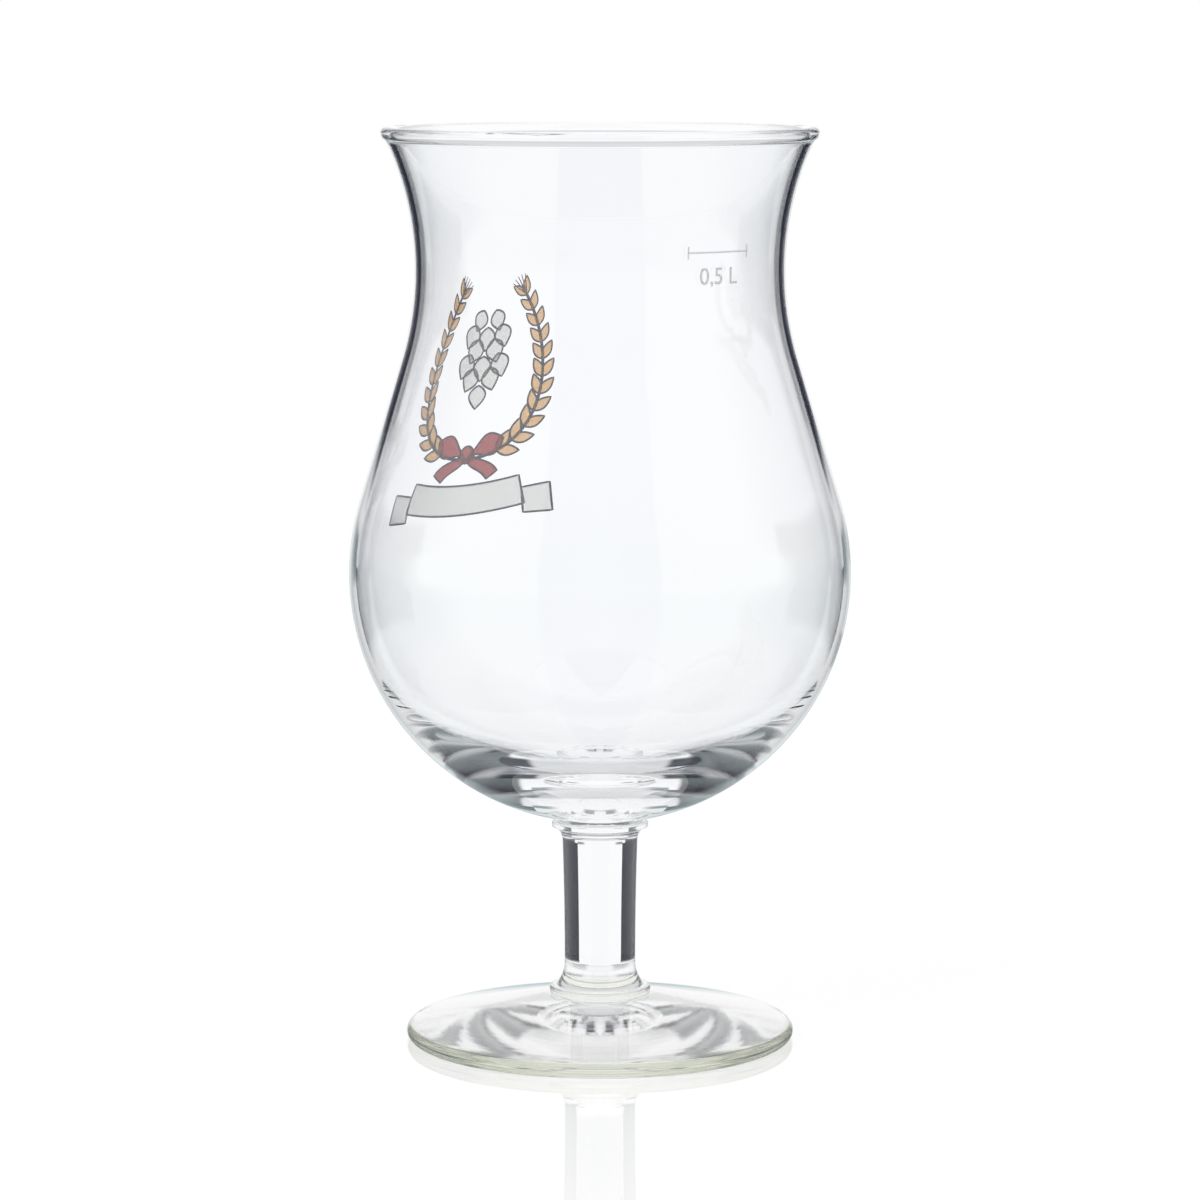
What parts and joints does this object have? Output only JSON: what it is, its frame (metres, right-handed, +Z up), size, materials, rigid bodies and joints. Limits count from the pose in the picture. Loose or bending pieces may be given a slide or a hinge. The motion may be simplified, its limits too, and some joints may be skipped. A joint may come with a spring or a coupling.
{
  "type": "stemmed beer goblet",
  "caption": "Clear glass beer goblet: round-bottomed bowl drawn in to a waist and flared to a beaded rim, on a short solid stem and a conical disc foot.",
  "frame": {"origin": "centre of the foot's rest plane, on the goblet's axis", "axes": "+Z up along the axis of revolution, towards the mouth; -Y towards the viewer of the picture; +X to its right"},
  "size_m": [0.0958, 0.0958, 0.1756],
  "materials": {
    "bowl_glass": "clear blown soda-lime glass, fire polished",
    "stem_glass": "clear pressed soda-lime glass, fire polished",
    "foot_glass": "clear pressed soda-lime glass, faintly green at the edge"
  },
  "bodies": {
    "root": {"bowl": "bowl_glass", "stem": "stem_glass", "foot": "foot_glass"}
  },
  "joints": []
}
